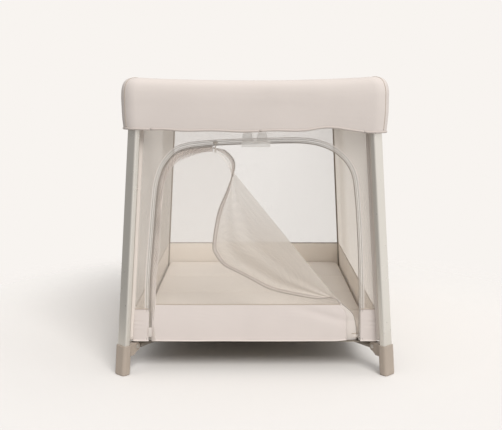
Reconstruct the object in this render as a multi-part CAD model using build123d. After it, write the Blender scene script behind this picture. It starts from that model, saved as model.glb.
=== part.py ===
"""Folding playpen: a collapsible tube frame, a padded rail cover, mesh walls with a zipped door and a folding mattress.

Frame: millimetres, X across the short side, front (door side) at -Y, +Z up, origin on the floor at the centre.
Corner parts are drawn once for the +X +Y corner and mirrored; rail parts are drawn along +X or +Y and mirrored.
"""
from build123d import *
import math
import os

os.makedirs("parts", exist_ok=True)

# ---- driving dimensions -------------------------------------------------------------------------------------
HEIGHT = 775.0              # floor to the top of the rail cover
LEAN = 0.0599               # every post and wall leans inward by this much per unit of height, along X and along Y
POST_X = 349.5              # post centre line at the floor
POST_Y = 505.5
WALL_X = 327.5              # outer face of the fabric walls at the floor, half width and half length
WALL_Y = 483.5

LEG_WIDE, LEG_THICK, LEG_CORNER, LEG_WALL = 35.0, 18.0, 5.0, 1.5
LEG_BOTTOM, LEG_TOP = 14.0, 722.0
FOOT_WIDE, FOOT_THICK, FOOT_TOP = 40.0, 26.0, 79.0

BASE_Z = 66.0               # height of every pivot of the base
FOOT_PIVOT = 42.0           # post centre to foot pivot, toward the hub
HUB_PIVOT = 92.0            # hub centre to hub pivot
BASE_TUBE_D, BASE_BORE, BASE_TONGUE = 18.0, 15.2, 16.0

RAIL_Z = 745.0              # height of every pivot of the top rails
HEAD_PIVOT = 22.0           # post centre to rail pivot
RAIL_D, RAIL_BORE, RAIL_TONGUE = 20.0, 17.0, 40.0

PIN_R, HOLE_R, RIVET_R, RIVET_H = 3.0, 3.05, 5.5, 2.0
TONGUE_T, TONGUE_H = 8.0, 12.0
SLOT_T = 8.6
CHEEK_T = 5.0
FORK_W = SLOT_T + 2 * CHEEK_T

WALL_T = 2.0
WALL_BOTTOM, WALL_TOP = 82.0, 698.0
FIN_T, FIN_TOP = 1.6, 684.0     # the flange that ties a wall's corner seam to its post
BAND_TOP = 181.0            # top of the solid cloth band under the door
DOOR_FOLD_A = (-108.5, 595.0)   # ends of the line that the open door folds along, as (x, z)
DOOR_FOLD_B = (228.0, 181.0)
DOOR_TOP = 607.0
DOOR_RADIUS = 115.0
DOOR_HALF, DOOR_LEAN = 288.0, 0.065   # half width of the zip arch is DOOR_HALF - DOOR_LEAN * z
DOOR_OPEN_ANGLE = 136.0
DOOR_BAND_END = 247.0       # the door's part of the bottom band ends here, short of the fixed zip tape

COVER_OUT = 40.0            # rail centre line to the outer face of the cover
COVER_IN = 21.0             # and to its inner face
COVER_SKIN = 6.0
COVER_HEM, COVER_INNER_HEM = 638.0, 700.0

FLOOR_Z, FLOOR_T = 80.0, 1.5
MATTRESS_X, MATTRESS_Y = 310.0, 468.0
MATTRESS_Z, MATTRESS_T = 86.0, 20.0
PANEL_GAP = 1.0
SEAM_GAP = 0.6              # left between two sides of the cover

# ---- derived dimensions --------------------------------------------------------------------------------------
RAIL_X = POST_X - LEAN * RAIL_Z
RAIL_Y = POST_Y - LEAN * RAIL_Z
FOOT_X = POST_X - LEAN * BASE_Z
FOOT_Y = POST_Y - LEAN * BASE_Z
DIAGONAL = math.hypot(FOOT_X, FOOT_Y)
TO_HUB = (-FOOT_X / DIAGONAL, -FOOT_Y / DIAGONAL)
BASE_TUBE_L = DIAGONAL - FOOT_PIVOT - HUB_PIVOT
# the half rails close the same linkage as the base tubes, so their lengths follow the base tube's
SHORT_HALF_L = BASE_TUBE_L * -TO_HUB[0]
LONG_HALF_L = BASE_TUBE_L * -TO_HUB[1]
SHORT_MIDDLE = RAIL_X - HEAD_PIVOT - SHORT_HALF_L    # middle of a rail to each pivot of its middle hinge
LONG_MIDDLE = RAIL_Y - HEAD_PIVOT - LONG_HALF_L
FORK_R = 12.0
SLOPE = math.hypot(1, LEAN)     # length up a sloping wall for one unit of height
CHANNEL_FLOOR = -TONGUE_H / 2 - 1.0   # inside floor of a middle hinge, from its pivots

X_SIDES = {"left": -1, "right": 1}
Y_SIDES = {"front": -1, "rear": 1}


def save(part, name):
    part.label = name
    export_step(part, f"parts/{name}.step")


def to_corner(part, sx, sy):
    """Mirrors a part of the +X +Y corner to another corner."""
    if sx < 0:
        part = mirror(part, about=Plane.YZ)
    if sy < 0:
        part = mirror(part, about=Plane.XZ)
    return part


def block(x0, x1, y0, y1, z0, z1):
    """An axis-aligned box between two corners."""
    box = Box(x1 - x0, y1 - y0, z1 - z0)
    return Pos((x0 + x1) / 2, (y0 + y1) / 2, (z0 + z1) / 2) * box


def rod(plane, u, v, radius, low, high):
    """A cylinder along the plane's normal, centred on the plane's point (u, v)."""
    disc = Pos(u, v) * Circle(radius)
    return extrude(plane.offset(low) * disc, amount=high - low)


def link_plane(x, y, z, direction):
    """A plane with its x along a horizontal direction, its y up, and its normal along the pivot pins."""
    dx, dy = direction
    return Plane(origin=(x, y, z), x_dir=(dx, dy, 0), z_dir=(dy, -dx, 0))


def slab(plane, outline, half):
    """An outline in a link plane, thickened to both sides."""
    return extrude(plane * outline, amount=half, both=True)


def box_at(plane, u0, u1, v0, v1, half):
    """A box in a link plane's coordinates, thickened to both sides."""
    outline = Pos((u0 + u1) / 2, (v0 + v1) / 2) * Rectangle(u1 - u0, v1 - v0)
    return slab(plane, outline, half)


def pin_with_heads(plane, u, v):
    """A riveted pivot pin through a fork, with a round head on each side."""
    half = FORK_W / 2
    pin = rod(plane, u, v, PIN_R, -half - RIVET_H, half + RIVET_H)
    for low in (-half - RIVET_H, half):
        pin += rod(plane, u, v, RIVET_R, low, low + RIVET_H)
    return pin


def link(plane, length, diameter, bore, tongue):
    """A tube with a flat pierced tongue at each end; the pivots are at u = 0 and u = length."""
    radius = diameter / 2
    axis_plane = Plane(origin=plane.origin, x_dir=plane.y_dir, z_dir=plane.x_dir)
    body = extrude(axis_plane.offset(tongue) * Circle(radius), amount=length - 2 * tongue)
    body = chamfer(body.edges(), 0.8)
    plug = 12.0
    hollow = axis_plane.offset(tongue + plug) * Circle(bore / 2)
    body -= extrude(hollow, amount=length - 2 * tongue - 2 * plug)
    for u in (0.0, length):
        inward = 1 if u == 0.0 else -1
        ends = sorted((u, u + inward * (tongue + 6.0)))
        body += box_at(plane, ends[0], ends[1], -TONGUE_H / 2, TONGUE_H / 2, TONGUE_T / 2)
        body += rod(plane, u, 0, TONGUE_H / 2, -TONGUE_T / 2, TONGUE_T / 2)
    for u in (0.0, length):
        body -= rod(plane, u, 0, HOLE_R, -TONGUE_T, TONGUE_T)
    # a drain hole on the underside opens the tube's inside
    drain = Plane(origin=plane.from_local_coords((length / 2, -radius, 0)))
    body -= extrude(drain.offset(-2) * Circle(2.0), amount=6)
    return body


# ---- posts ---------------------------------------------------------------------------------------------------
def post_plane(z):
    """The plane across a post at height z, with its x along the post's wide face."""
    return Plane(
        origin=(POST_X - LEAN * z, POST_Y - LEAN * z, z),
        x_dir=(-1, 1, 0),
        z_dir=(-LEAN, -LEAN, 1),
    )


def post_bar(wide, thick, corner, low, high):
    """A rounded bar along the post's centre line, cut level at both ends."""
    bar = extrude(post_plane(low - 10) * RectangleRounded(wide, thick, corner), amount=high - low + 22)
    return bar & block(200, 500, 350, 650, low, high)


def leg():
    outer = post_bar(LEG_WIDE, LEG_THICK, LEG_CORNER, LEG_BOTTOM, LEG_TOP)
    inner = post_bar(
        LEG_WIDE - 2 * LEG_WALL, LEG_THICK - 2 * LEG_WALL, LEG_CORNER - LEG_WALL, LEG_BOTTOM - 1, LEG_TOP + 1
    )
    return outer - inner


FOOT_PLANE = link_plane(FOOT_X + TO_HUB[0] * FOOT_PIVOT, FOOT_Y + TO_HUB[1] * FOOT_PIVOT, BASE_Z, TO_HUB)


def foot():
    """A moulded shoe around the end of the post, with the fork that carries the base tube."""
    shoe = post_bar(FOOT_WIDE, FOOT_THICK, 8.5, 0, FOOT_TOP)
    shoe = fillet(shoe.edges().filter_by_position(Axis.Z, -0.1, 0.1), 4.0)
    shoe = fillet(shoe.edges().filter_by_position(Axis.Z, FOOT_TOP - 0.1, FOOT_TOP + 0.1), 1.0)
    arm = Polygon((-30, FORK_R), (0, FORK_R), (0, -FORK_R), (-12, -21), (-30, -21), align=None)
    outline = arm + Circle(FORK_R)
    shoe += slab(FOOT_PLANE, outline, FORK_W / 2)
    shoe -= box_at(FOOT_PLANE, -9, 14, -30, 30, SLOT_T / 2)
    shoe -= rod(FOOT_PLANE, 0, 0, HOLE_R, -FORK_W, FORK_W)
    socket = post_bar(LEG_WIDE + 0.2, LEG_THICK + 0.2, LEG_CORNER + 0.1, LEG_BOTTOM, FOOT_TOP + 5)
    return shoe - socket


def head_planes():
    """The two link planes at the top of a post: along the short rail and along the long rail."""
    short = link_plane(RAIL_X - HEAD_PIVOT, RAIL_Y, RAIL_Z, (-1, 0))
    long = link_plane(RAIL_X, RAIL_Y - HEAD_PIVOT, RAIL_Z, (0, -1))
    return short, long


def corner_bracket():
    """The moulded block on top of a post: a spigot inside the tube and a fork for each of the two rails."""
    inner, outer = 15.0, 25.5
    core = block(RAIL_X - inner, RAIL_X + outer, RAIL_Y - inner, RAIL_Y + outer, LEG_TOP + 0.3, HEIGHT - 17)
    outer_edge = core.edges().filter_by(Axis.Z).sort_by(lambda edge: edge.center().X + edge.center().Y)[-1]
    core = fillet(outer_edge, 18.0)
    core = fillet(core.edges().group_by(Axis.Z)[-1], 2.5)
    core += post_bar(LEG_WIDE - 2 * LEG_WALL - 0.3, LEG_THICK - 2 * LEG_WALL - 0.3, 3.3, LEG_TOP - 34, LEG_TOP + 5)
    for plane in head_planes():
        core += box_at(plane, -HEAD_PIVOT + inner - 2, 0, -11, 11, FORK_W / 2)
        core += rod(plane, 0, 0, 11, -FORK_W / 2, FORK_W / 2)
    for plane in head_planes():
        core -= box_at(plane, -HEAD_PIVOT + inner, 20, -20, 20, SLOT_T / 2)
        core -= rod(plane, 0, 0, HOLE_R, -FORK_W, FORK_W)
    return core


def post_pins():
    """The three pivot pins that a post carries: one at the foot and two at the top."""
    return [pin_with_heads(plane, 0, 0) for plane in (FOOT_PLANE, *head_planes())]


# ---- base ----------------------------------------------------------------------------------------------------
def hub():
    """The centre joint of the base, with a fork toward each post."""
    body = Pos(0, 0, BASE_Z) * Cylinder(50, 2 * FORK_R)
    body = fillet(body.edges(), 3.0)
    for sx in X_SIDES.values():
        for sy in Y_SIDES.values():
            plane = link_plane(0, 0, BASE_Z, (sx * -TO_HUB[0], sy * -TO_HUB[1]))
            body += box_at(plane, 30, HUB_PIVOT, -FORK_R, FORK_R, FORK_W / 2)
            body += rod(plane, HUB_PIVOT, 0, FORK_R, -FORK_W / 2, FORK_W / 2)
    for sx in X_SIDES.values():
        for sy in Y_SIDES.values():
            plane = link_plane(0, 0, BASE_Z, (sx * -TO_HUB[0], sy * -TO_HUB[1]))
            body -= box_at(plane, HUB_PIVOT - 15, HUB_PIVOT + 20, -30, 30, SLOT_T / 2)
            body -= rod(plane, HUB_PIVOT, 0, HOLE_R, -FORK_W, FORK_W)
    return body


def hub_pins():
    pins = []
    for sx in X_SIDES.values():
        for sy in Y_SIDES.values():
            plane = link_plane(0, 0, BASE_Z, (sx * -TO_HUB[0], sy * -TO_HUB[1]))
            pins.append(pin_with_heads(plane, HUB_PIVOT, 0))
    return pins


def hub_foot():
    """The round foot that carries the middle of the base."""
    low = BASE_Z - FORK_R
    foot_body = Pos(0, 0, low / 2) * Cylinder(20, low)
    foot_body += Pos(0, 0, low - 4) * Cylinder(34, 8)
    return fillet(foot_body.edges().filter_by_position(Axis.Z, -0.1, 0.1), 3.0)


def pull_strap():
    """The webbing handle that lifts the hub: a stem on the hub and a flat loop over the floor cloth."""
    top = BASE_Z + FORK_R
    stem = block(-15, 15, -1.5, 1.5, top, FLOOR_Z + FLOOR_T + 2.5)
    loop = block(-15, 15, -62, 62, FLOOR_Z + FLOOR_T + 0.8, FLOOR_Z + FLOOR_T + 2.5)
    return stem + loop


def floor_panel():
    """One quarter of the floor cloth, sewn to its base tube."""
    half_x = WALL_X - LEAN * WALL_BOTTOM - 0.6
    half_y = WALL_Y - LEAN * WALL_BOTTOM - 0.6
    panel = block(0.5, half_x, 0.5, half_y, FLOOR_Z, FLOOR_Z + FLOOR_T)
    return panel - Pos(0, 0, FLOOR_Z) * Cylinder(24, 20)


# ---- top rails -----------------------------------------------------------------------------------------------
def rail_half(name, sx, sy):
    """Half of a top rail, from the post at corner (sx, sy) to the rail's middle hinge."""
    if name in Y_SIDES:
        plane = link_plane(sx * (RAIL_X - HEAD_PIVOT), sy * RAIL_Y, RAIL_Z, (-sx, 0))
        return link(plane, SHORT_HALF_L, RAIL_D, RAIL_BORE, RAIL_TONGUE)
    plane = link_plane(sx * RAIL_X, sy * (RAIL_Y - HEAD_PIVOT), RAIL_Z, (0, -sy))
    return link(plane, LONG_HALF_L, RAIL_D, RAIL_BORE, RAIL_TONGUE)


def middle_plane(name):
    """The link plane in the middle of a rail."""
    if name in Y_SIDES:
        return link_plane(0, Y_SIDES[name] * RAIL_Y, RAIL_Z, (1, 0))
    return link_plane(X_SIDES[name] * RAIL_X, 0, RAIL_Z, (0, 1))


def middle_hinge(plane, spacing):
    """The middle hinge of a rail: a channel open at the top, with a window for the release button, and two pins."""
    length = spacing + FORK_R
    body = box_at(plane, -length, length, CHANNEL_FLOOR - 5, FORK_R - 1, FORK_W / 2)
    body -= box_at(plane, -length - 1, length + 1, CHANNEL_FLOOR, FORK_R + 5, SLOT_T / 2)
    body -= box_at(plane, -4.9, 4.9, CHANNEL_FLOOR - 6, CHANNEL_FLOOR + 1, 3.4)
    for u in (-spacing, spacing):
        body -= rod(plane, u, 0, HOLE_R, -FORK_W, FORK_W)
    pins = [pin_with_heads(plane, u, 0) for u in (-spacing, spacing)]
    return [body, *pins]


def release_button(plane):
    """The button pushed up from under a rail to unlock its middle hinge."""
    button = box_at(plane, -4.5, 4.5, CHANNEL_FLOOR - 9, CHANNEL_FLOOR + 1, 3.0)
    return button + box_at(plane, -6, 6, CHANNEL_FLOOR + 0.2, CHANNEL_FLOOR + 1.8, 4.0)


# ---- cover ---------------------------------------------------------------------------------------------------
def cover_ring():
    """The padded cover of all four rails: a channel, open below, with a deep outer flap."""
    out_x, out_y = RAIL_X + COVER_OUT, RAIL_Y + COVER_OUT
    in_x, in_y = RAIL_X - COVER_IN, RAIL_Y - COVER_IN
    ring = Pos(0, 0, COVER_HEM) * extrude(RectangleRounded(2 * out_x, 2 * out_y, 42), amount=HEIGHT - COVER_HEM)
    ring = fillet(ring.edges().group_by(Axis.Z)[-1], 13.0)
    ring -= block(-in_x, in_x, -in_y, in_y, 0, HEIGHT + 5)
    skin = COVER_SKIN
    cavity_outline = RectangleRounded(2 * (out_x - skin), 2 * (out_y - skin), 36)
    cavity_outline -= Rectangle(2 * (in_x + skin), 2 * (in_y + skin))
    cavity = Pos(0, 0, COVER_HEM - 1) * extrude(cavity_outline, amount=HEIGHT - 7 - COVER_HEM + 1)
    ring -= cavity
    return ring - block(-in_x - skin - 1, in_x + skin + 1, -in_y - skin - 1, in_y + skin + 1, 0, COVER_INNER_HEM)


def cover_side(ring, name):
    """One side of the cover, cut at the seams that run diagonally across its corners."""
    apex = RAIL_Y - RAIL_X + SEAM_GAP / 2 * (1 if name in Y_SIDES else -1)
    reach = 500.0
    if name in Y_SIDES:
        sign = Y_SIDES[name]
        wedge = Polygon((0, sign * apex), (reach, sign * (apex + reach)), (-reach, sign * (apex + reach)), align=None)
    else:
        sign = X_SIDES[name]
        wedge = Polygon(
            (0, apex), (sign * reach, apex + reach), (sign * reach, -apex - reach), (0, -apex), align=None
        )
    return ring & extrude(Pos(0, 0, HEIGHT) * wedge, amount=300, both=True)


# ---- walls and door ------------------------------------------------------------------------------------------
def wall_plane(name):
    """The outer face of a wall, with its y up the slope; heights are divided by the cosine of the lean."""
    if name in Y_SIDES:
        sign = Y_SIDES[name]
        return Plane(origin=(0, sign * WALL_Y, 0), x_dir=(-sign, 0, 0), z_dir=(0, sign, LEAN))
    sign = X_SIDES[name]
    return Plane(origin=(sign * WALL_X, 0, 0), x_dir=(0, sign, 0), z_dir=(sign, 0, LEAN))


def wall_outline(half_at_floor):
    """A wall's trapezoid in its own plane, narrowing upward with the posts."""
    low, high = WALL_BOTTOM, WALL_TOP
    wide, narrow = half_at_floor - LEAN * low, half_at_floor - LEAN * high
    return Polygon(
        (-wide, low * SLOPE), (wide, low * SLOPE), (narrow, high * SLOPE), (-narrow, high * SLOPE), align=None
    )


def corner_fin():
    """The cloth flange from a wall's corner seam out to the post, along the +X +Y post."""
    near = LEG_THICK / 2 + 0.15
    far = math.hypot(POST_X - WALL_X, POST_Y - WALL_Y) + 1.4
    outline = Pos(0, (near + far) / 2) * Rectangle(FIN_T, far - near)
    fin = extrude(post_plane(WALL_BOTTOM - 10) * outline, amount=FIN_TOP - WALL_BOTTOM + 22)
    return fin & block(200, 500, 350, 650, WALL_BOTTOM, FIN_TOP)


def wall(name):
    half = WALL_X - WALL_T - 0.6 if name in Y_SIDES else WALL_Y
    outline = wall_outline(half)
    if name == "front":
        outline -= doorway()
    panel = extrude(wall_plane(name) * outline, amount=-WALL_T)
    if name in X_SIDES:
        for end in Y_SIDES.values():
            panel += to_corner(corner_fin(), X_SIDES[name], end)
    return panel


def door_corner(inset):
    """Where the door's top meets its side, as (x of the side at that height, x and z of the rounding centre)."""
    top = DOOR_TOP - inset
    radius = DOOR_RADIUS - inset
    centre_z = top - radius
    centre_x = DOOR_HALF - DOOR_LEAN * centre_z - inset - radius
    return top, radius, centre_x, centre_z


def in_wall(x, z):
    return (x, z * SLOPE)


def door_outline(inset, fold_inset):
    """The door's mesh above its fold line, inset from the zip and from the fold line."""
    top, radius, centre_x, centre_z = door_corner(inset)
    (ax, az), (bx, bz) = DOOR_FOLD_A, DOOR_FOLD_B
    length = math.hypot(bx - ax, bz - az)
    shift_x, shift_z = (az - bz) / length * fold_inset, (bx - ax) / length * fold_inset
    ax, az, bx, bz = ax + shift_x, az + shift_z, bx + shift_x, bz + shift_z
    side_low = DOOR_HALF - DOOR_LEAN * bz - inset
    points = [(bx, bz), (side_low, bz)]
    arc_steps = 8
    for i in range(arc_steps + 1):
        angle = math.radians(90 * i / arc_steps)
        points.append((centre_x + radius * math.cos(angle), centre_z + radius * math.sin(angle)))
    points += [(ax, top), (ax, az)]
    return Polygon(*[in_wall(x, z) for x, z in points], align=None)


def doorway():
    """The hole that the open door leaves: its mesh above the fold line and a gap at the end of its band."""
    gap_high = BAND_TOP + 2
    side_high = DOOR_HALF - DOOR_LEAN * gap_high
    side_low = DOOR_HALF - DOOR_LEAN * WALL_BOTTOM
    gap = Polygon(
        in_wall(DOOR_FOLD_B[0] + 3, gap_high),
        in_wall(side_high, gap_high),
        in_wall(side_low, WALL_BOTTOM + 4),
        in_wall(DOOR_BAND_END + 3, WALL_BOTTOM + 4),
        in_wall(DOOR_BAND_END, BAND_TOP - 45),
        in_wall(DOOR_BAND_END - 6, BAND_TOP - 15),
        align=None,
    )
    return door_outline(0.0, -1.0) + gap


def fold_axis():
    """The line that the door folds along, on the wall's inner face, from its low end to its high end."""
    plane = wall_plane("front").offset(-WALL_T)
    low = plane.from_local_coords((*in_wall(*DOOR_FOLD_B), 0))
    high = plane.from_local_coords((*in_wall(*DOOR_FOLD_A), 0))
    return Axis(origin=low, direction=high - low)


def door_flap():
    """The door's mesh, unzipped and folded back to the inside."""
    plane = wall_plane("front").offset(-0.2)
    closed = extrude(plane * door_outline(1.5, 1.5), amount=-(WALL_T - 0.4))
    return closed.rotate(fold_axis(), DOOR_OPEN_ANGLE)


SLIDER_PLANE = wall_plane("front").offset(0.4)
SLIDER_AT = in_wall(DOOR_FOLD_A[0] + 6, DOOR_TOP)


def zip_slider():
    """The zip's slider, with the small pin that its pull hangs on."""
    x, v = SLIDER_AT
    body = extrude(SLIDER_PLANE * (Pos(x, v) * RectangleRounded(12, 8, 2.5)), amount=4.0)
    body = fillet(body.edges().group_by(Axis.Y)[0], 0.8)
    for side in (-1, 1):
        lug = Pos(x + side * 2.6, v - 2.0) * Rectangle(1.2, 3.0)
        body += extrude(SLIDER_PLANE * lug, amount=7.0)
    return body + pull_pin(0.8)


def pull_pin(radius):
    """A rod across the slider's two lugs."""
    x, v = SLIDER_AT
    start = SLIDER_PLANE.from_local_coords((x - 3.0, v - 2.0, 5.8))
    across = Plane(origin=start, x_dir=(0, 1, 0), z_dir=(1, 0, 0))
    return extrude(across * Circle(radius), amount=6.0)


def zip_pull():
    """The pull tab that hangs from the slider."""
    x, v = SLIDER_AT
    outline = Pos(x, v - 13.5) * RectangleRounded(3.6, 26, 1.7)
    tab = extrude(SLIDER_PLANE.offset(4.9) * outline, amount=1.9)
    tab -= pull_pin(0.86)
    return tab


# ---- mattress ------------------------------------------------------------------------------------------------
PANEL_W = (2 * MATTRESS_Y - 3 * PANEL_GAP) / 4


def mattress_panel(index):
    """One of the four stiff pads of the folding mattress, counted from the door side."""
    y0 = -MATTRESS_Y + index * (PANEL_W + PANEL_GAP)
    pad = block(-MATTRESS_X, MATTRESS_X, y0, y0 + PANEL_W, MATTRESS_Z, MATTRESS_Z + MATTRESS_T)
    return fillet(pad.edges(), 4.0)


def mattress_tabs():
    """Two strips of hook tape that hold the first pad to the floor cloth."""
    low = FLOOR_Z + FLOOR_T + 0.5
    strips = []
    for sign in X_SIDES.values():
        centre = sign * 190.0
        strips.append(block(centre - 40, centre + 40, -380, -330, low, low + 2.5))
    return strips


# ---- the whole object ----------------------------------------------------------------------------------------
def group(solids):
    return Compound(children=list(solids))


def save_corners():
    """Everything that belongs to one post, and the base tube and floor quarter beside it."""
    parts = {
        "leg": leg(),
        "foot": foot(),
        "corner_bracket": corner_bracket(),
        "base_tube": link(FOOT_PLANE, BASE_TUBE_L, BASE_TUBE_D, BASE_BORE, BASE_TONGUE),
        "floor_panel": floor_panel(),
    }
    pins = post_pins()
    for y_name, sy in Y_SIDES.items():
        for x_name, sx in X_SIDES.items():
            corner = f"{y_name}_{x_name}"
            for name, part in parts.items():
                save(to_corner(part, sx, sy), f"{name}_{corner}")
            save(group(to_corner(pin, sx, sy) for pin in pins), f"post_pins_{corner}")


def save_rails():
    for name in (*Y_SIDES, *X_SIDES):
        plane = middle_plane(name)
        spacing = SHORT_MIDDLE if name in Y_SIDES else LONG_MIDDLE
        save(group(middle_hinge(plane, spacing)), f"{name}_rail_hinge")
        save(release_button(plane), f"{name}_rail_button")
        ends = X_SIDES if name in Y_SIDES else Y_SIDES
        for end, sign in ends.items():
            sx, sy = (sign, Y_SIDES[name]) if name in Y_SIDES else (X_SIDES[name], sign)
            save(rail_half(name, sx, sy), f"{name}_rail_{end}_half")


def save_soft():
    ring = cover_ring()
    for name in (*Y_SIDES, *X_SIDES):
        save(cover_side(ring, name), f"cover_{name}")
        save(wall(name), f"wall_{name}")
    save(door_flap(), "door_flap")
    save(zip_slider(), "zip_slider")
    save(zip_pull(), "zip_pull")
    for index in range(4):
        save(mattress_panel(index), f"mattress_panel_{index + 1}")
    save(group(mattress_tabs()), "mattress_tabs")


save_corners()
save(hub(), "hub")
save(group(hub_pins()), "hub_pins")
save(hub_foot(), "hub_foot")
save(pull_strap(), "pull_strap")
save_rails()
save_soft()
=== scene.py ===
"""Folding playpen: fabric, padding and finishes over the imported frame. Metres, in the CAD's frame, +Z up."""
import math

import bmesh
import bpy
import numpy as np
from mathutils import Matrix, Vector, noise


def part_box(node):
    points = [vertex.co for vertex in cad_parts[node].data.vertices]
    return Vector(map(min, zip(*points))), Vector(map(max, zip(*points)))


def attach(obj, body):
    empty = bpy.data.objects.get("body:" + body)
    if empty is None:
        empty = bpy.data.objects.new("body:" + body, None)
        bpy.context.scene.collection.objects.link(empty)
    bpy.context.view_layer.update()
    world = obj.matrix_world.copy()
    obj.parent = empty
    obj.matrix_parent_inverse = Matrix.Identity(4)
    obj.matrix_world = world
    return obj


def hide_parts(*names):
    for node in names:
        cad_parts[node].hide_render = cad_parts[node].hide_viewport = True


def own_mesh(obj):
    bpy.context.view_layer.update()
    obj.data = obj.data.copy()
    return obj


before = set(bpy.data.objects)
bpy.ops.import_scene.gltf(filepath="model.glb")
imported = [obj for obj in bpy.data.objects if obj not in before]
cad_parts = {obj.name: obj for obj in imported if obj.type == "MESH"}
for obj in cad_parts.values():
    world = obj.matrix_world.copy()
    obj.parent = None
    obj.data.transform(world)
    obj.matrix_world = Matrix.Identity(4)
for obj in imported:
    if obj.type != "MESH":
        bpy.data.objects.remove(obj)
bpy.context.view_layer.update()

# ---- shared sizes, read from the frame where it has them ---------
LEAN = 0.0599                       # inward run of posts and walls per unit of height
WALL_LOW = 0.082
wall_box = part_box("wall_rear")
CORNER_LAP = 0.0026                 # the side walls' thickness and seam, past the front and rear walls' ends
WALL_X = wall_box[1][0] + CORNER_LAP + LEAN * WALL_LOW      # outer wall faces, carried down to the floor
WALL_Y = wall_box[1][1] + LEAN * WALL_LOW
BAND_TOP = 0.175                    # top of the solid band on the rear and side walls
DOOR_BAND_TOP, CORNER_BAND_TOP = 0.181, 0.169
NET_TOP = 0.697                     # the nets end inside the cover
CLOTH_T, FRONT_CLOTH_T = 0.0012, 0.0014
ZIP_TAPE, ZIP_LENGTH = 0.012, 1.35    # the tape's width, and its length round the whole arch
COIL_R, COIL_PITCH = 0.0016, 0.0021
PIPING_R, FRONT_PIPING_R = 0.0018, 0.0014
HEM_R, FRONT_HEM_R, COVER_HEM_R = 0.0022, 0.0026, 0.0031
SEAM_MARGIN = 0.004                 # from the zip's line to the cloth beside it
FOLD_A, FOLD_B = (-0.1085, 0.595), (0.228, 0.181)    # the door's fold line, (x, z) on the front wall
# the zip's path round the door, (x, z) on the front wall, clockwise from low on the left
ARCH = [
    (-0.278, 0.085), (-0.276, 0.230), (-0.266, 0.357), (-0.256, 0.470), (-0.247, 0.518),
    (-0.233, 0.550), (-0.210, 0.577), (-0.180, 0.591), (-0.130, 0.598), (-0.060, 0.602),
    (0.010, 0.604), (0.080, 0.606), (0.130, 0.605), (0.170, 0.598), (0.207, 0.582),
    (0.236, 0.556), (0.254, 0.522), (0.262, 0.470), (0.269, 0.380), (0.274, 0.270),
    (0.276, 0.160), (0.276, 0.085),
]
RAIL_X = (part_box("left_rail_front_half")[0][0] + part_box("left_rail_front_half")[1][0]) / -2
RAIL_Y = (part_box("rear_rail_left_half")[0][1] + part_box("rear_rail_left_half")[1][1]) / 2
HEAD_PIVOT = 0.022                  # from a rail's far end to its pivot at the post
X_SIDES = {"left": -1, "right": 1}
Y_SIDES = {"front": -1, "rear": 1}
# the body that carries each wall, then an axis, a point and a share for its cloth's gathering when the frame
# folds; only the body is used here
CARRIER = {
    "front": ("post_front_left", (1, 0, 0), (-0.33, 0, 0), 0.24),
    "rear": ("post_rear_left", (1, 0, 0), (-0.33, 0, 0), 0.24),
    "left": ("post_rear_left", (0, 1, 0), (0, 0.485, 0), 0.29),
    "right": ("post_rear_right", (0, 1, 0), (0, 0.485, 0), 0.29),
}


def linear(hex_colour):
    """A display colour such as "CEC6BE" as linear RGB."""
    channels = [int(hex_colour[i : i + 2], 16) / 255 for i in (0, 2, 4)]
    return tuple(c / 12.92 if c <= 0.04045 else ((c + 0.055) / 1.055) ** 2.4 for c in channels)


IVORY = "F8F4F0"
COVER = "D7CEC8"
BAND_CLOTH = "CFC6C1"
# painted light: the rear and side bands are far lighter than the front bands' cloth, to stand in for light
# that doesn't reach inside the pen
INNER_CLOTH_PAINTED_LIGHT = "F2ECE4"
MATTRESS = "DED6CD"
NET = "DFD7CF"


# ---- materials ---------------------------------------------------
NET_PITCH = 0.0016


def new_material(name):
    """A material with its node tree and its Principled shader."""
    mat = bpy.data.materials.new(name)
    mat.use_nodes = True
    tree = mat.node_tree
    return mat, tree, tree.nodes["Principled BSDF"]


def set_up(tree, node, **settings):
    """Sets a node's inputs, with the spaces in their names written as underscores, or else its properties.
    A value that is another node's output is linked."""
    for key, value in settings.items():
        name = key.replace("_", " ")
        if name not in node.inputs:
            setattr(node, key, value)
        elif isinstance(value, bpy.types.NodeSocket):
            tree.links.new(value, node.inputs[name])
        else:
            node.inputs[name].default_value = value


def add(tree, kind, **settings):
    node = tree.nodes.new(kind)
    set_up(tree, node, **settings)
    return node


def object_coords(tree):
    return tree.nodes.new("ShaderNodeTexCoord").outputs["Object"]


def threads(tree, coords, pitch, direction):
    """A wave across one direction, one period per thread."""
    scale = 1.0 / pitch / 20 * 2 * math.pi
    wave = add(tree, "ShaderNodeTexWave", Scale=scale, bands_direction=direction, Vector=coords)
    return wave.outputs["Fac"]


def cloud(tree, coords, scale, detail):
    """Soft noise from 0 to 1."""
    return add(tree, "ShaderNodeTexNoise", Scale=scale, Detail=detail, Vector=coords).outputs["Fac"]


def bump(tree, height, strength, distance):
    return add(tree, "ShaderNodeBump", Strength=strength, Distance=distance, Height=height)


def math_node(tree, operation, a, b=None):
    """A Math node's output; a and b are numbers or outputs."""
    node = tree.nodes.new("ShaderNodeMath")
    node.operation = operation
    for socket, value in zip(node.inputs, (a, b)):
        if isinstance(value, (int, float)):
            socket.default_value = value
        elif value is not None:
            tree.links.new(value, socket)
    return node.outputs[0]


def clamped(tree, value):
    return math_node(tree, "MINIMUM", math_node(tree, "MAXIMUM", value, 0.0), 1.0)


def eased(tree, value, start, end, first=0.0, last=1.0):
    """Goes smoothly from first to last while the value goes from start to end."""
    limits = {"From_Min": start, "From_Max": end, "To_Min": first, "To_Max": last}
    node = add(tree, "ShaderNodeMapRange", interpolation_type="SMOOTHSTEP", Value=value, **limits)
    return node.outputs["Result"]


def mix_shaders(tree, share, first, second):
    """A Mix Shader's output; share is how much of the second shows, as a number or an output."""
    mix = add(tree, "ShaderNodeMixShader", Fac=share)
    tree.links.new(first, mix.inputs[1])
    tree.links.new(second, mix.inputs[2])
    return mix.outputs["Shader"]


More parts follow.
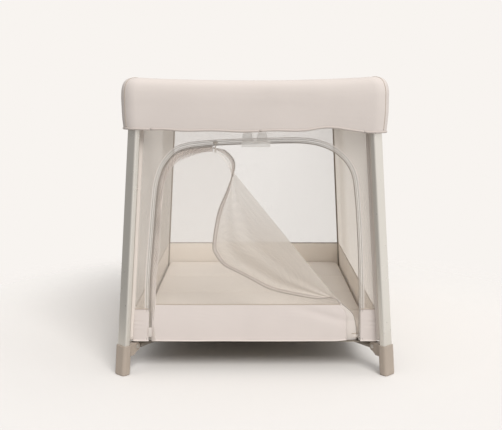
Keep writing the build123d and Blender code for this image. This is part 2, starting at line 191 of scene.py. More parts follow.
def show(tree, shader_output):
    tree.links.new(shader_output, tree.nodes["Material Output"].inputs["Surface"])


def mottled(tree, coords, colour, spread, scale):
    """The base colour with a slow, slight change in brightness."""
    mix = add(tree, "ShaderNodeMix", data_type="RGBA", Factor=cloud(tree, coords, scale, 3.0))
    rgb = np.array(linear(colour))
    darker, lighter = mix.inputs[6], mix.inputs[7]
    darker.default_value = (*(rgb * (1 - spread)), 1)
    lighter.default_value = (*(rgb * (1 + spread)).clip(0, 1), 1)
    return mix.outputs[2]


def cloth(name, colour, pitch=0.0011, depth=0.25, soft_bump=0.0, through=0.0):
    """Woven cloth: crossed threads as bump, mottled colour, a little sheen; through is the share of light
    from behind that shows."""
    mat, tree, shader = new_material(name)
    coords = object_coords(tree)
    tint = mottled(tree, coords, colour, 0.04, 9.0)
    weave = math_node(tree, "MULTIPLY", threads(tree, coords, pitch, "X"), threads(tree, coords, pitch, "Z"))
    weave = math_node(tree, "ADD", weave, threads(tree, coords, pitch, "Y"))
    surface = bump(tree, weave, depth, 0.0004)
    if soft_bump:
        wrinkle = bump(tree, cloud(tree, coords, 28.0, 2.0), soft_bump, 0.004)
        set_up(tree, surface, Normal=wrinkle.outputs["Normal"])
    set_up(tree, shader, Base_Color=tint, Roughness=0.92, Sheen_Weight=0.15, Sheen_Roughness=0.5)
    set_up(tree, shader, Specular_IOR_Level=0.25, Normal=surface.outputs["Normal"])
    if through:
        let_light_through(tree, shader, tint, through)
    return mat


def let_light_through(tree, shader, colour, share):
    """Mixes a Translucent shader into the cloth's own, so that light from behind shows on it."""
    through = add(tree, "ShaderNodeBsdfTranslucent", Color=colour)
    mixed = mix_shaders(tree, share, shader.outputs["BSDF"], through.outputs["BSDF"])
    show(tree, mixed)
    return mixed


def net(name, colour, cover, across, through=0.45, thin_above=None):
    """Fine knitted net: diagonal threads that let the rest of the light past; cover is the share they fill.
    thin_above is a pair of heights between which the net thins out to half, as a single slack layer does."""
    mat, tree, shader = new_material(name)
    coords = object_coords(tree)
    tint = mottled(tree, coords, colour, 0.03, 6.0)
    set_up(tree, shader, Base_Color=tint, Roughness=0.85, Specular_IOR_Level=0.2)
    quarter = math.radians(45)
    rotation = (0, quarter, 0) if across == "X" else (quarter, 0, 0)
    turned = add(tree, "ShaderNodeMapping", Vector=coords, Rotation=rotation).outputs["Vector"]
    first = threads(tree, turned, NET_PITCH, across)
    second = threads(tree, turned, NET_PITCH, "Z")
    most = math_node(tree, "MAXIMUM", first, second)
    # a soft-edged thread is cheaper to sample than a sharp one and looks the same from a metre away
    edge = math_node(tree, "MULTIPLY", math_node(tree, "SUBTRACT", most, 1.0 - cover * 0.8), 4.0)
    filled = math_node(tree, "MULTIPLY", clamped(tree, edge), 0.55)
    filled = clamped(tree, math_node(tree, "ADD", filled, cover - 0.30))
    if thin_above:
        height = add(tree, "ShaderNodeSeparateXYZ", Vector=coords).outputs["Z"]
        filled = math_node(tree, "MULTIPLY", filled, eased(tree, height, *thin_above, 1.0, 0.5))
    cloth_shader = let_light_through(tree, shader, tint, through)
    clear = add(tree, "ShaderNodeBsdfTransparent")
    show(tree, mix_shaders(tree, filled, clear.outputs["BSDF"], cloth_shader))
    return mat


def plain(name, colour, rough=0.5, metal=0.0, grain=0.0, spread=0.03):
    """A hard surface: moulded plastic, painted or anodised metal."""
    mat, tree, shader = new_material(name)
    coords = object_coords(tree)
    change = math_node(tree, "SUBTRACT", cloud(tree, coords, 60.0, 2.0), 0.5)
    change = math_node(tree, "MULTIPLY", change, 0.12)
    tint = mottled(tree, coords, colour, spread, 14.0)
    set_up(tree, shader, Base_Color=tint, Metallic=metal, Roughness=math_node(tree, "ADD", change, rough))
    if grain:
        fine = bump(tree, cloud(tree, coords, 900.0, 1.0), grain, 0.0005)
        set_up(tree, shader, Normal=fine.outputs["Normal"])
    return mat


cover_cloth = cloth("cover_cloth", COVER, depth=0.12, soft_bump=0.12)
band_cloth = cloth("band_cloth", BAND_CLOTH, soft_bump=0.12)
# painted light: lightened for the shaded inside of the pen
inner_band_painted_light = cloth("inner_band_painted_light", INNER_CLOTH_PAINTED_LIGHT, soft_bump=0.15, through=0.3)
floor_cloth = cloth("floor_cloth", "8C8274", soft_bump=0.1)
mattress_cloth = cloth("mattress_cloth", MATTRESS, pitch=0.0022, depth=0.4, soft_bump=0.2)
hem_cloth = cloth("hem_cloth", "DAD1CB", pitch=0.0009)
binding_cloth = cloth("binding_cloth", "8E867C", pitch=0.0009)
piping_cloth = cloth("piping_cloth", "B9AC9F", pitch=0.0009)
tape_cloth = cloth("tape_cloth", "F0EAE5", pitch=0.0008, depth=0.35, through=0.45)
strap_cloth = cloth("strap_cloth", "5A544D", pitch=0.0016, depth=0.5)
front_net = net("front_net", NET, 0.31, "X")
rear_net = net("rear_net", "E4E2E0", 0.40, "X")
# painted light: the side nets are lighter than the front net, to stand in for light that doesn't reach their
# inner faces
side_net_painted_light = net("side_net_painted_light", "F4EEE6", 0.76, "Y")
# painted light: the flap's net is near white, lighter than the door's own net, to stand in for light that the
# folded flap doesn't get
flap_net_painted_light = net("flap_net_painted_light", "FAF5EE", 0.92, "X", through=0.4, thin_above=(0.24, 0.50))
gather_net = net("gather_net", "E2DBD5", 0.66, "X")
# the tabs and sleeve are sheer cloth; for the fixed zip tape this near-white see-through cloth is painted
# light, lifting it out of the shade under the cover's hem
sheer_tape_painted_light = net("sheer_tape_painted_light", "FFFDFA", 0.50, "X")
# painted shade: the cover's hem roll is darker than the hem cloth, standing for the shadow line under the
# cover's hem
hem_roll_painted_shade = cloth("hem_roll_painted_shade", "C9BFB8", pitch=0.0009)
fin_cloth = cloth("fin_cloth", "DCD3CB")
coil_plastic = plain("coil_plastic", "ABA299", rough=0.45)
slider_metal = plain("slider_metal", "BDB5AC", rough=0.35, metal=0.4)
post_metal = plain("post_metal", "CFCBC3", rough=0.30, metal=0.85, spread=0.015)
shoe_plastic = plain("shoe_plastic", "A2968A", rough=0.55, grain=0.25)
dark_plastic = plain("dark_plastic", "857C72", rough=0.55, grain=0.25)
tube_metal = plain("tube_metal", "8F877E", rough=0.42, metal=0.5)
pin_metal = plain("pin_metal", "D2CDC6", rough=0.3, metal=0.9)

CAD_FINISH = {
    "leg": post_metal,
    "foot": shoe_plastic,
    "corner_bracket": dark_plastic,
    "post_pins": pin_metal,
    "base_tube": tube_metal,
    "hub_pins": pin_metal,
    "hub_foot": shoe_plastic,
    "hub": dark_plastic,
    "zip_slider": slider_metal,
    "zip_pull": slider_metal,
}


def finish_cad():
    """Gives every CAD node that stays visible its material."""
    for name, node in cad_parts.items():
        if name.endswith("_half"):
            mat = tube_metal
        elif name.endswith(("_hinge", "_button")):
            mat = dark_plastic
        else:
            keys = [k for k in CAD_FINISH if name.startswith(k)]
            if not keys:
                continue
            mat = CAD_FINISH[max(keys, key=len)]
        node.data.materials.clear()
        node.data.materials.append(mat)


# ---- mesh helpers ------------------------------------------------
def make_object(name, points, faces, mat, smooth=True):
    mesh = bpy.data.meshes.new(name)
    mesh.from_pydata([tuple(p) for p in points], [], faces)
    mesh.update()
    return shown(mesh, mat, smooth)


def shown(mesh, mat, smooth=True):
    """An object of the mesh's name that shows it."""
    mesh.materials.append(mat)
    mesh.polygons.foreach_set("use_smooth", [smooth] * len(mesh.polygons))
    piece = bpy.data.objects.new(mesh.name, mesh)
    bpy.context.scene.collection.objects.link(piece)
    return piece


def grid_faces(rows, columns, wrap=False):
    """Faces over rows by columns of points; wrap joins the last column to the first."""
    faces = []
    for i in range(rows - 1):
        for j in range(columns if wrap else columns - 1):
            k = (j + 1) % columns
            near, far = i * columns, (i + 1) * columns
            faces.append((near + j, near + k, far + k, far + j))
    return faces


def grid(first, second):
    """Two arrays of the same shape that run over two spans, each a (start, end, count)."""
    return np.meshgrid(np.linspace(*first), np.linspace(*second), indexing="ij")


def unit(vectors):
    return vectors / np.linalg.norm(vectors, axis=1)[:, None]


def directions(line):
    """The unit tangent at each point of a line."""
    return unit(np.gradient(line, axis=0))


def grid_object(name, points, mat):
    """A sheet from a rows by columns array of points."""
    rows, columns = points.shape[:2]
    return make_object(name, points.reshape(-1, 3), grid_faces(rows, columns), mat)


def tube_object(name, line, radius, mat, sides=8, squash=1.0, out=(0, -1, 0)):
    """A cord of constant section along a line of points; squash flattens it along out."""
    line = np.asarray(line, float)
    tangent = directions(line)
    side = unit(np.cross(tangent, out))
    normal = np.cross(side, tangent)
    rings = []
    for k in range(sides):
        angle = 2 * math.pi * k / sides
        rings.append(line + radius * (math.cos(angle) * side + squash * math.sin(angle) * normal))
    points = np.stack(rings, axis=1)
    count = len(line)
    faces = grid_faces(count, sides, wrap=True)
    faces.append(tuple(range(sides))[::-1])
    faces.append(tuple(range((count - 1) * sides, count * sides)))
    return make_object(name, points.reshape(-1, 3), faces, mat)


def ribbon(name, line, across, width, mat):
    """A flat tape along a line; across is the direction of its width at each point."""
    line, across = np.asarray(line, float), np.asarray(across, float)
    steps = np.linspace(-0.5, 0.5, 5)
    points = line[:, None, :] + across[:, None, :] * (steps[None, :, None] * width)
    return grid_object(name, points, mat)


def thicken(piece, thickness):
    """Gives a sheet both its faces, as mesh, so that it can be squashed."""
    mod = piece.modifiers.new("thickness", "SOLIDIFY")
    mod.thickness = thickness
    mod.offset = 0.0
    graph = bpy.context.evaluated_depsgraph_get()
    bpy.context.view_layer.update()
    mesh = bpy.data.meshes.new_from_object(piece.evaluated_get(graph), depsgraph=graph)
    piece.modifiers.clear()
    piece.data = mesh


def resample(line, count):
    """count points evenly spaced along a polyline."""
    line = np.asarray(line, float)
    along = np.concatenate([[0], np.cumsum(np.linalg.norm(np.diff(line, axis=0), axis=1))])
    at = np.linspace(0, along[-1], count)
    return np.stack([np.interp(at, along, line[:, k]) for k in range(line.shape[1])], axis=1)


def smooth_curve(points, count):
    """A Catmull-Rom curve through a few given points, evenly resampled."""
    p = np.asarray(points, float)
    p = np.vstack([2 * p[0] - p[1], p, 2 * p[-1] - p[-2]])
    out = []
    for a, b, c, d in zip(p, p[1:], p[2:], p[3:]):
        for t in np.linspace(0, 1, 12, endpoint=False):
            square, cube = 2 * a - 5 * b + 4 * c - d, 3 * b - a - 3 * c + d
            out.append(0.5 * (2 * b + (c - a) * t + square * t**2 + cube * t**3))
    out.append(p[-2])
    return resample(out, count)


def ripple(x, y, scale, seed):
    """Smooth noise from -1 to 1."""
    return noise.noise(Vector((x / scale, y / scale, seed * 7.31)))


def ripples(xs, ys, scale, seed):
    flat = [ripple(x, y, scale, seed) for x, y in zip(np.ravel(xs), np.ravel(ys))]
    return np.array(flat).reshape(np.shape(xs))


def corners():
    """Each corner's name, with the signs of its x and y."""
    for y_name, sy in Y_SIDES.items():
        for x_name, sx in X_SIDES.items():
            yield f"{y_name}_{x_name}", sx, sy


# ---- walls -------------------------------------------------------
def on_wall(side, across, height, depth=0.0):
    """Points on a wall: across its width, at a height, moved inward by depth."""
    across, height, depth = np.broadcast_arrays(
        np.asarray(across, float), np.asarray(height, float), np.asarray(depth, float)
    )
    if side in Y_SIDES:
        sign = Y_SIDES[side]
        return np.stack([across, sign * (WALL_Y - LEAN * height - depth), height], axis=-1)
    sign = X_SIDES[side]
    return np.stack([sign * (WALL_X - LEAN * height - depth), across, height], axis=-1)


def wall_half(side, height):
    """Half the width of a wall at a height."""
    return (WALL_X if side in Y_SIDES else WALL_Y) - LEAN * height


def outward(side):
    if side in Y_SIDES:
        return (0, Y_SIDES[side], 0)
    return (X_SIDES[side], 0, 0)


def place(piece, body):
    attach(piece, body)


def hang(piece, side, body=None):
    """Lets a wall's piece ride with its post, or with another body."""
    post, axis, anchor, keep = CARRIER[side]
    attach(piece, body or post)
    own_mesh(piece)


def front_cord(name, line, radius, mat, sides):
    """A thin cord on the front wall."""
    hang(tube_object(name, line, radius, mat, sides=sides), "front")


def cloth_band(name, side, points, mat, thickness):
    """A solid band of a wall, with both its faces modelled."""
    band = grid_object(name, points, mat)
    thicken(band, thickness)
    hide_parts(f"wall_{side}")
    hang(band, side)


def front_sheet(piece, body=None):
    hang(piece, "front", body)


def wall_panel(side, low, high, columns, rows, inset, amount, seed):
    """A wall's points between two heights, with slight cloth ripples that die out at its edges."""
    u, v = np.meshgrid(np.linspace(-1, 1, columns), np.linspace(0, 1, rows))
    height = low + (high - low) * v
    across = u * (wall_half(side, height) - inset)
    fade = np.clip((1 - np.abs(u)) * 6, 0, 1) * np.clip(np.minimum(v, 1 - v) * 6, 0, 1)
    depth = 0.0015 + amount * fade * (0.5 + 0.5 * ripples(across, height * 0.7, 0.16, seed))
    return on_wall(side, across, height, depth)


def make_plain_wall(side, seed):
    """A rear or side wall: net above, solid cloth band below, and piping on the seam between them."""
    # the side walls' net is lightened as painted light for their shaded inner faces
    net_mat = rear_net if side == "rear" else side_net_painted_light
    net_points = wall_panel(side, BAND_TOP, NET_TOP, 90, 60, 0.002, 0.004, seed)
    upper = grid_object(f"net_{side}", net_points, net_mat)
    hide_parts(f"wall_{side}")
    hang(upper, side)
    band = wall_panel(side, WALL_LOW, BAND_TOP, 120, 16, 0.001, 0.003, seed + 1)
    # the band's cloth is lightened as painted light for the pen's shaded inside
    cloth_band(f"band_{side}", side, band, inner_band_painted_light, CLOTH_T)
    edging = binding_cloth if side == "rear" else piping_cloth
    for name, level, lift, radius, mat, sides in (
        ("piping", BAND_TOP, 0.0, PIPING_R, edging, 6),
        ("hem", WALL_LOW, 0.002, HEM_R, hem_cloth, 8),
    ):
        across = np.linspace(-1, 1, 60) * (wall_half(side, level) - 0.003)
        line = on_wall(side, across, level + lift, 0.001)
        cord = tube_object(f"{name}_{side}", line, radius, mat, sides=sides, out=outward(side))
        hang(cord, side)


def corner_line(sx, sy, outward_step=0.0, low=0.086, high=0.684, count=50):
    """Points up the seam where two walls meet, moved diagonally out toward the post."""
    height = np.linspace(low, high, count)
    x = sx * (WALL_X - LEAN * height + outward_step)
    y = sy * (WALL_Y - LEAN * height + outward_step)
    return np.stack([x, y, height], axis=1)


def make_corners():
    """At each post the flange that ties the corner seam to it, and at the rear a tape over the seam."""
    for corner, sx, sy in corners():
        steps = [corner_line(sx, sy, step) for step in np.linspace(-0.001, 0.0150, 6)]
        fin = grid_object(f"corner_flange_{corner}", np.stack(steps), fin_cloth)
        thicken(fin, FRONT_CLOTH_T)
        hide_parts("wall_" + corner.split("_")[1])
        place(fin, f"post_{corner}")
        if sy > 0:
            line, name = corner_line(sx, sy, -0.0035), f"corner_binding_{corner}"
            tape = tube_object(name, line, 0.004, binding_cloth, squash=0.5, out=(sx, sy, 0))
            place(tape, f"post_{corner}")


# ---- front wall --------------------------------------------------
def arch_line(count=240):
    """The zip's path as evenly spaced (x, z) points."""
    return smooth_curve(ARCH, count)


def arch_side(sign, height):
    """The x of the zip's left or right upright at a height."""
    side = [p for p in ARCH if p[0] * sign > 0.2 and p[1] < 0.5]
    side.sort(key=lambda p: p[1])
    return np.interp(height, [p[1] for p in side], [p[0] for p in side])


def line_normals(line):
    """Unit normals of an (x, z) line, to the left of its direction."""
    tangent = directions(line)
    return np.stack([-tangent[:, 1], tangent[:, 0]], axis=1)


def ruled(first, second, rows):
    """Points between two lines with the same number of points."""
    v = np.linspace(0, 1, rows)[:, None, None]
    return first[None] * (1 - v) + second[None] * v


def front_net_sheet(name, flat_points, mat, amount=0.0, seed=0):
    """A sheet on the front wall from an array of (x, z) points; flat is the size that it is cut from."""
    x, z = flat_points[..., 0], flat_points[..., 1]
    depth = 0.001 + amount * (0.5 + 0.5 * ripples(x, z, 0.11, seed))
    piece = grid_object(name, on_wall("front", x, z, depth), mat)
    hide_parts("wall_front")
    hang(piece, "front")
    return piece


def surround_outline(line):
    """For each point of the arch, a point of the wall's outer edge to rule the net out to."""
    shoulder = 0.52                     # the height where the arch's side starts to bend
    turn, turn_end = 0.262, 0.236       # how far out the arch is there, and where the bend ends
    corner = wall_half("front", NET_TOP)
    points = []
    for x, z in line:
        if z < shoulder:
            height = z + (NET_TOP - shoulder) * 0.25 * max(0.0, (z - 0.40) / (shoulder - 0.40))
            points.append((math.copysign(wall_half("front", height), x), height))
        elif abs(x) > turn_end:
            share = (turn - abs(x)) / (turn - turn_end)
            height = shoulder + (NET_TOP - shoulder) * (0.25 + 0.75 * min(1.0, max(0.0, share)))
            points.append((math.copysign(wall_half("front", height), x), height))
        else:
            points.append((x / turn_end * corner, NET_TOP))
    return np.array(points)


def fold_line(count):
    t = np.linspace(0, 1, count)[:, None]
    return np.array(FOLD_A) * (1 - t) + np.array(FOLD_B) * t


def door_rest_outline(count):
    """From A left along the arch, down its left side and right along the band to B."""
    line = arch_line(400)
    stop = int(np.argmin(np.abs(line[:, 0] - FOLD_A[0])))
    left = line[: stop + 1][::-1]
    left = left[left[:, 1] > DOOR_BAND_TOP] + np.array([0.003, 0.0])
    corner = (float(arch_side(-1, DOOR_BAND_TOP)) + 0.003, DOOR_BAND_TOP)
    path = np.vstack([[FOLD_A], left, [corner], [FOLD_B]])
    return resample(path, count)


def band_end(height):
    """The rounded right end of the door's band."""
    t = np.clip((DOOR_BAND_TOP + 0.004 - np.asarray(height, float)) / 0.040, 0, 1)
    return 0.2215 + 0.0245 * np.sin(t * math.pi / 2) - 0.002 * np.clip((0.14 - height) / 0.06, 0, 1)


def make_front_wall():
    arch = arch_line()
    surround = ruled(arch, surround_outline(arch), 18)
    above = arch[:, 1] > CORNER_BAND_TOP
    first, last = int(np.argmax(above)), len(above) - int(np.argmax(above[::-1]))
    strip = surround[:, first:last]
    front_net_sheet("net_front_surround", strip, front_net, amount=0.0015, seed=3)
    closed_part = ruled(fold_line(90), door_rest_outline(90), 40)
    front_net_sheet("net_door", closed_part, front_net, amount=0.003, seed=5)
    make_door_band()
    for name, sign in X_SIDES.items():
        make_corner_band(name, sign)


def make_door_band():
    """The solid cloth along the bottom of the door, its right end curling round."""
    v, u = grid((0, 1, 18), (0, 1, 130))
    height = WALL_LOW + 0.001 + (DOOR_BAND_TOP - WALL_LOW - 0.001) * v
    left = arch_side(-1, height) + SEAM_MARGIN
    x = left + (band_end(height) - left) * u
    # a soft pull line runs down from the fold's low end
    crease = np.exp(-(((x - 0.10) * 0.28 - (0.175 - height)) / 0.010) ** 2)
    crease = crease * np.clip((x - 0.05) * 8, 0, 1)
    curl = np.clip((x - 0.20) / 0.05, 0, 1) ** 2
    depth = -0.0035 * np.sin(v * math.pi) + 0.003 * crease + 0.010 * curl
    depth = depth + 0.0015 * ripples(x, height, 0.09, 11)
    points = on_wall("front", x, height, depth)
    cloth_band("band_door", "front", points, band_cloth, FRONT_CLOTH_T)
    top = on_wall("front", x[-1], height[-1], depth[-1] - 0.0005)
    front_cord("band_door_piping", top, FRONT_PIPING_R, piping_cloth, 6)
    bottom = on_wall("front", x[0], height[0] + 0.001, depth[0])
    front_cord("band_door_hem", bottom, FRONT_HEM_R, hem_cloth, 8)
    end = on_wall("front", x[:, -1], height[:, -1], depth[:, -1])
    front_cord("band_door_edge", end, 0.0015, tape_cloth, 8)
    reach = np.linspace(0, 1, 18)[:, None]
    outer = end + np.array([0.027, 0.004, 0.0]) * np.sin((1 - reach) * math.pi * 0.45 + 0.25)
    tape = grid_object("band_door_tape", ruled(end, outer, 5), tape_cloth)
    front_sheet(tape)
    front_cord("band_door_coil", outer, 0.0013, coil_plastic, 6)


def make_corner_band(name, sign):
    """The fixed band between a post and the zip, with small pleats where it is gathered."""
    v, u = grid((0, 1, 24), (0, 1, 20))
    height = WALL_LOW + 0.001 + (CORNER_BAND_TOP - WALL_LOW - 0.001) * v
    inner = np.abs(arch_side(sign, height)) + SEAM_MARGIN
    x = inner + (wall_half("front", height) + 0.001 - inner) * u
    pleats = 0.0012 * np.sin(height * 2 * math.pi / 0.011) * np.exp(-(((height - 0.132) / 0.018) ** 2)) * u
    depth = -0.002 * np.sin(v * math.pi) + pleats
    points = on_wall("front", sign * x, height, depth)
    cloth_band(f"band_corner_{name}", "front", points, band_cloth, FRONT_CLOTH_T)
    top = on_wall("front", sign * x[-1], height[-1], -0.001)
    front_cord(f"band_corner_piping_{name}", top, FRONT_PIPING_R, piping_cloth, 6)
    bottom = on_wall("front", sign * x[0], height[0] + 0.001, 0.0)
    front_cord(f"band_corner_hem_{name}", bottom, FRONT_HEM_R, hem_cloth, 8)


# ---- zip ---------------------------------------------------------
def zip_coil(name, line, radius, pitch, body=None):
    """The zip's coil: a helix of thread along a line of points on the front wall."""
    line = np.asarray(line, float)
    length = float(np.linalg.norm(np.diff(line, axis=0), axis=1).sum())
    turns = length / pitch
    fine = resample(line, int(turns * 8))
    tangent = directions(fine)
    side = unit(np.cross(tangent, (0, -1, 0)))
    out = np.cross(side, tangent)
    angle = np.arange(len(fine)) * 2 * math.pi / 8
    helix = fine + radius * (np.cos(angle)[:, None] * side + 0.6 * np.sin(angle)[:, None] * out)
    hang(tube_object(name, helix, 0.00055, coil_plastic, sides=4), "front", body)


def make_zip():
    """Fixed tape and coil round the whole arch, and the door's own tape where the zip is still closed."""
    line = arch_line(count=260)
    normal = line_normals(line)
    flat = on_wall("front", line[:, 0], line[:, 1], -0.0005)
    across = np.stack([normal[:, 0], np.zeros(len(line)), normal[:, 1]], axis=1)
    outer = flat + across * 0.0075
    # painted light: the fixed tape uses the sheer cloth to lighten it where the cover's hem shades it
    fixed = ribbon("zip_tape_fixed", outer, across, ZIP_TAPE, sheer_tape_painted_light)
    front_sheet(fixed)
    front_cord("zip_tape_edge", flat + across * 0.0138, 0.0008, hem_cloth, 6)
    zip_coil("zip_coil_fixed", flat + across * 0.0008, COIL_R, COIL_PITCH)
    for index, step in enumerate((0.0050, 0.0098)):
        stitches = flat + across * step + [0, -0.0004, 0]
        front_cord(f"zip_stitching_{index + 1}", stitches, 0.0005, binding_cloth, 5)
    closed = int(np.argmin(np.abs(line[:, 0] - FOLD_A[0]))) + 1
    middle = flat[:closed] - across[:closed] * 0.0075
    inner = ribbon("zip_tape_door", middle, across[:closed], ZIP_TAPE, tape_cloth)
    front_sheet(inner)
    zip_coil("zip_coil_door", flat[:closed] - across[:closed] * 0.0024, COIL_R, COIL_PITCH)
    front_cord("zip_door_edge", flat[:closed] - across[:closed] * 0.0140, 0.0013, hem_cloth, 6)
    make_gathers(line[:closed], normal[:closed])
    make_zip_stop(flat[2])
    make_top_tabs()


def make_gathers(line, normal):
    """The net drawn up beside the closed zip: a narrow strip in slanting ruffles, like twisted rope."""
    count = 420
    line, normal = resample(line, count), resample(normal, count)
    length = float(np.linalg.norm(np.diff(line, axis=0), axis=1).sum())
    s, v = grid((0, length, count), (0, 1, 14))
    upper = np.clip((s - 0.13) / 0.12, 0, 1)      # 0 beside the band, 1 once the strip is clear of it
    ends = upper * np.clip((length - s) / 0.05, 0, 1)
    ends = ends * (0.45 + 0.55 * np.abs(ripples(s, s * 0, 0.06, 63)) * 2)
    width = (0.010 + 0.008 * upper) * v + 0.003 * v * ripples(s, s * 0, 0.05, 61)
    across = SEAM_MARGIN + width * np.sqrt(np.clip((length - s) / 0.07, 0.02, 1))
    phase = 2 * math.pi * (s / 0.0125 + 1.6 * v) + 6.0 * ripples(s, s * 0, 0.07, 62)
    ruffle = np.sin(phase) * (0.0026 * np.sin(np.clip(v * 1.15, 0, 1) * math.pi) + 0.0006)
    flat = line[:, None, :] - normal[:, None, :] * across[..., None]
    depth = -0.0015 - ruffle * ends - 0.002 * np.sin(v * math.pi)
    gathers = grid_object("zip_gathers", on_wall("front", flat[..., 0], flat[..., 1], depth), gather_net)
    front_sheet(gathers)


def make_zip_stop(at):
    """The moulded box that the zip starts from, low on the left."""
    half = np.array([0.0048, 0.0022, 0.0125])
    centre = at + np.array([0.0, -0.0025, 0.011])
    stop = rounded_block("zip_start_box", centre - half, centre + half, 0.0012, tape_cloth)
    hang(stop, "front")


def make_top_tabs():
    """The loop at the top of the zip: two cloth tabs and a sleeve that hangs clear of the slider's path."""
    for name, sign in X_SIDES.items():
        v, u = grid((0, 1, 10), (-1, 1, 10))
        height = 0.604 + 0.030 * v
        x = sign * 0.019 + u * (0.017 - 0.006 * v)
        depth = -0.0025 - 0.0092 * (1 - v) ** 0.7
        tab = grid_object(f"tie_tab_{name}", on_wall("front", x, height, depth), sheer_tape_painted_light)
        front_sheet(tab)
    line = on_wall("front", np.linspace(-0.035, 0.040, 20), 0.6035, -0.0117)
    sleeve = tube_object("zip_sleeve", line, 0.0075, sheer_tape_painted_light, sides=10, squash=0.35)
    hang(sleeve, "front")


# ---- door flap ---------------------------------------------------
# The flap's free edge when it is folded back, from the slider down to the band: it hangs in a slack S.
FREE_EDGE = [
    (-0.109, -0.447, 0.594), (-0.082, -0.442, 0.580), (-0.062, -0.437, 0.558),
    (-0.059, -0.431, 0.530), (-0.069, -0.410, 0.478), (-0.092, -0.369, 0.408),
    (-0.107, -0.334, 0.318), (-0.099, -0.326, 0.288), (-0.077, -0.318, 0.258),
    (-0.044, -0.319, 0.241), (0.001, -0.330, 0.220), (0.043, -0.351, 0.202),
    (0.089, -0.382, 0.196), (0.134, -0.417, 0.195), (0.175, -0.444, 0.194),
    (0.213, -0.464, 0.194), (0.228, -0.472, 0.183),
]


def make_flap():
    """The unzipped part of the door, hanging behind its fold line in soft lengthwise folds."""
    count, rows = 110, 44
    edge_points = smooth_curve(FREE_EDGE, count)
    fold = fold_line(count)
    fold_points = on_wall("front", fold[:, 0], fold[:, 1], 0.0035)
    v = np.linspace(0, 1, rows)[:, None]
    s = np.linspace(0, 1, count)[None, :]
    points = ruled(fold_points, edge_points, rows)
    bulge = np.sin(v * math.pi) * np.sin(s * math.pi)
    folds = np.sin(v * 13 + 5 * s + 1.2 * np.sin(s * 5)) * np.clip(v * 4, 0, 1) * np.clip((1 - v) * 3, 0, 1)
    points[..., 1] += 0.030 * bulge + 0.0065 * folds * np.sin(s * math.pi) ** 0.7
    points[..., 2] -= 0.012 * bulge
    flap = grid_object("door_flap_cloth", points, flap_net_painted_light)
    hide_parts("door_flap")
    front_sheet(flap, "door")
    inner = points[-1]
    toward = points[-1] - points[-4]
    toward /= np.linalg.norm(toward, axis=1)[:, None] + 1e-9
    tape = grid_object("door_flap_tape", ruled(inner, inner + toward * 0.010, 4), tape_cloth)
    front_sheet(tape, "door")
    hang(tube_object("door_flap_hem", inner, 0.0016, hem_cloth, sides=6), "front", "door")
    zip_coil("door_flap_coil", (inner + toward * 0.010)[3:-3], 0.0014, 0.0023, "door")


# ---- rail cover --------------------------------------------------
# The outside of the cover's section, from its inner hem over the top to its outer hem, as
# (outward from the rail, height).
COVER_SECTION = [
    (-0.0185, 0.703), (-0.0200, 0.715), (-0.0208, 0.735), (-0.0190, 0.755),
    (-0.0110, 0.7675), (0.0040, 0.7715), (0.0200, 0.7700), (0.0315, 0.7620),
    (0.0375, 0.7470), (0.0395, 0.7250), (0.0390, 0.7000), (0.0380, 0.6750),
    (0.0365, 0.6550), (0.0350, 0.6400),
]
OUTER_COUNT = 46            # points on the outer skin of the section; the inner skin has as many
CORNER_REACH = HEAD_PIVOT + 0.012    # the corner pieces end this far along the rails, just past their pivots


def cover_section():
    """The section's outer and inner skins, as one closed loop of (outward, height)."""
    outer = smooth_curve(COVER_SECTION, OUTER_COUNT)
    inward = -line_normals(outer)
    thickness = 0.0035 + 0.0015 * np.sin(np.linspace(0, 1, OUTER_COUNT) * math.pi)
    inner = outer + inward * thickness[:, None]
    return np.vstack([outer, inner[::-1]])


def ring_stations():
    """Positions round the rails as (kind, side or corner, share), the same number for every offset."""
    stations = []
    order = [("front", (1, -1)), ("right", (1, 1)), ("rear", (-1, 1)), ("left", (-1, -1))]
    for side, corner in order:
        count = 56 if side in Y_SIDES else 80
        for f in np.linspace(0, 1, count, endpoint=False):
            stations.append(("side", side, f))
        for f in np.linspace(0, 1, 14, endpoint=False):
            stations.append(("corner", corner, f))
    return stations


def ring_point(station, offset):
    """The plan position of a station at an offset outward from the rails' centre line."""
    kind, where, f = station
    half_x, half_y = RAIL_X + offset, RAIL_Y + offset
    radius = 0.005 + 0.62 * (offset + 0.0215)
    ends = {
        "front": ((-half_x + radius, -half_y), (half_x - radius, -half_y)),
        "right": ((half_x, -half_y + radius), (half_x, half_y - radius)),
        "rear": ((half_x - radius, half_y), (-half_x + radius, half_y)),
        "left": ((-half_x, half_y - radius), (-half_x, -half_y + radius)),
    }
    if kind == "side":
        a, b = ends[where]
        return a[0] + (b[0] - a[0]) * f, a[1] + (b[1] - a[1]) * f
    sx, sy = where
    start = {(1, -1): -90, (1, 1): 0, (-1, 1): 90, (-1, -1): 180}[where]
    angle = math.radians(start + 90 * f)
    x = sx * (half_x - radius) + radius * math.cos(angle)
    return x, sy * (half_y - radius) + radius * math.sin(angle)


def bell(value, centre, width):
    return math.exp(-(((value - centre) / width) ** 2))


def hem_height(station):
    """How far the outer hem is drawn up round the cover: it sags between the corners and tucks near them."""
    kind, where, f = station
    if kind == "corner":
        return -0.0045 if where[0] > 0 else 0.0045
    start, end = {"front": (0.0045, -0.0045), "right": (-0.0045, -0.0045)}.get(where, (-0.0045, 0.0045))
    if where == "left":
        start, end = 0.0045, 0.0045
    level = start + (end - start) * (0.5 - 0.5 * math.cos(min(1.0, max(0.0, (f - 0.85) / 0.15)) * math.pi))
    sag = -0.0055 * math.sin(min(1.0, f / 0.93) * math.pi) ** 0.7
    tuck = 0.0065 * bell(f, 0.80, 0.07) + 0.002 * bell(f, 0.12, 0.05)
    wave = 0.0014 * math.sin(f * 23 + 0.6) * math.sin(f * math.pi)
    return level + sag + tuck + wave


